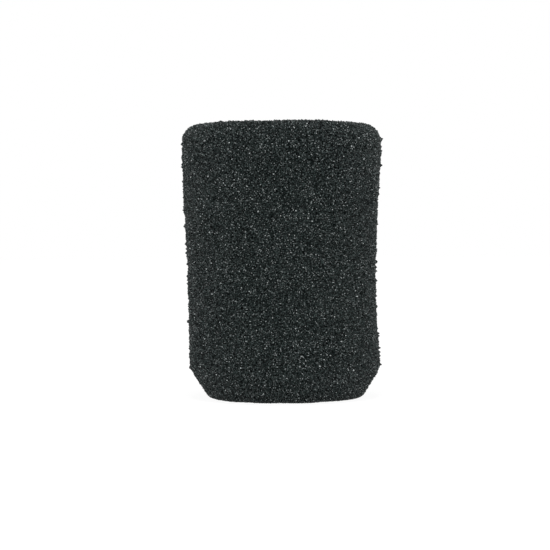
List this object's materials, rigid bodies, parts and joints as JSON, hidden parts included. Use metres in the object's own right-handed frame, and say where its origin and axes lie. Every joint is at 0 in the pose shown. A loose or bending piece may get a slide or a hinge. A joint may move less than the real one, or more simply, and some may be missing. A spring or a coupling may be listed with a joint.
{
  "type": "foam microphone windscreen",
  "caption": "Black open-cell foam sleeve with a closed flat front, slight waist and tapered tail, slipped over a large microphone's grille to soften wind and breath noise.",
  "frame": {"origin": "centre of the mouth face, which is the lowest face when the windscreen stands as in the picture", "axes": "+Z along the windscreen's axis from the mouth to the closed front; X and Y are equivalent because every piece is turned about Z"},
  "size_m": [0.064, 0.064, 0.088],
  "materials": {
    "sleeve_foam": "matt open-cell polyurethane foam, ground to shape",
    "plug_foam": "matt open-cell polyurethane foam, die-cut",
    "neck_foam": "matt open-cell polyurethane foam, die-cut",
    "glue": "dried contact adhesive, slightly shiny"
  },
  "bodies": {
    "root": {"foam_sleeve": "sleeve_foam", "front_plug": "plug_foam", "neck_ring": "neck_foam", "plug_glue_film": "glue", "neck_glue_film": "glue"}
  },
  "joints": []
}
